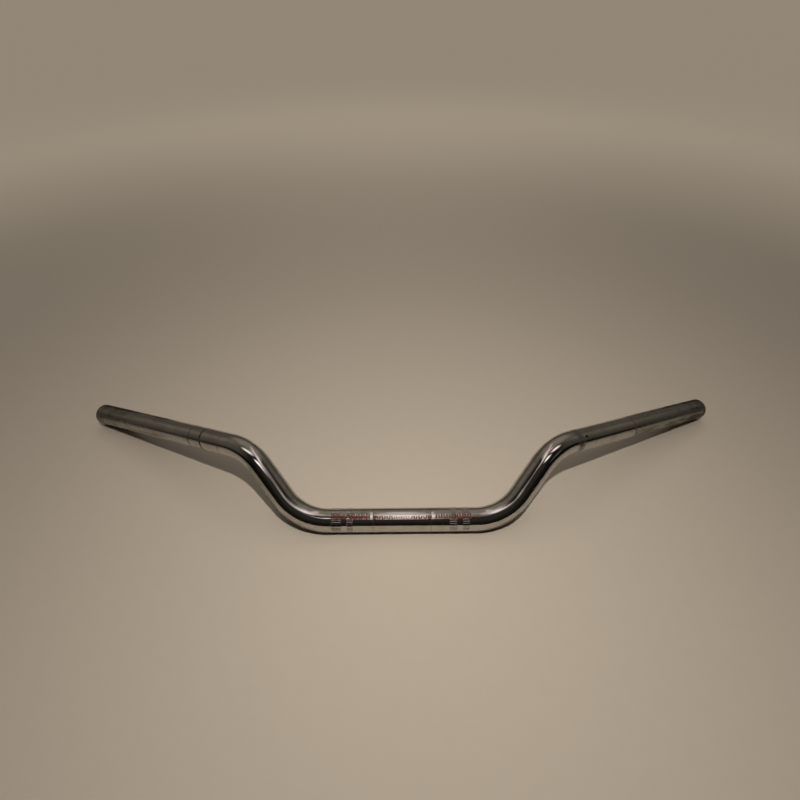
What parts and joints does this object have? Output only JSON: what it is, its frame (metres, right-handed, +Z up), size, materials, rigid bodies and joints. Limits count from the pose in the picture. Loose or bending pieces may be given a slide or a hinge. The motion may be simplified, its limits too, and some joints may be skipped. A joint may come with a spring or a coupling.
{
  "type": "motorcycle handlebar",
  "caption": "Bent chromed steel tube handlebar with a flat centre section, raised elbows and swept-back open ends, with a steel weight held on rubber cushions in each end.",
  "frame": {"origin": "under the middle of the bar's box, on the surface that the centre section and both tips lie on", "axes": "+X along the bar's width to the rider's left, +Y from the centre section towards the tips (the rider's side), +Z up from the surface"},
  "size_m": [0.7006, 0.1728, 0.0617],
  "materials": {
    "chrome_plate": "worn bright chrome plate, duller and scuffed where the grips and clamps sat",
    "weight_steel": "turned steel with a thin oily film",
    "spring_steel": "yellow-passivated spring steel",
    "cushion_rubber": "matt black moulded rubber"
  },
  "bodies": {
    "root": {"bar_tube": "chrome_plate", "left_inner_weight": "weight_steel", "left_outer_cushion": "cushion_rubber", "left_inner_cushion": "cushion_rubber", "left_weight_retainer": "spring_steel", "right_inner_weight": "weight_steel", "right_outer_cushion": "cushion_rubber", "right_inner_cushion": "cushion_rubber", "right_weight_retainer": "spring_steel"}
  },
  "joints": []
}
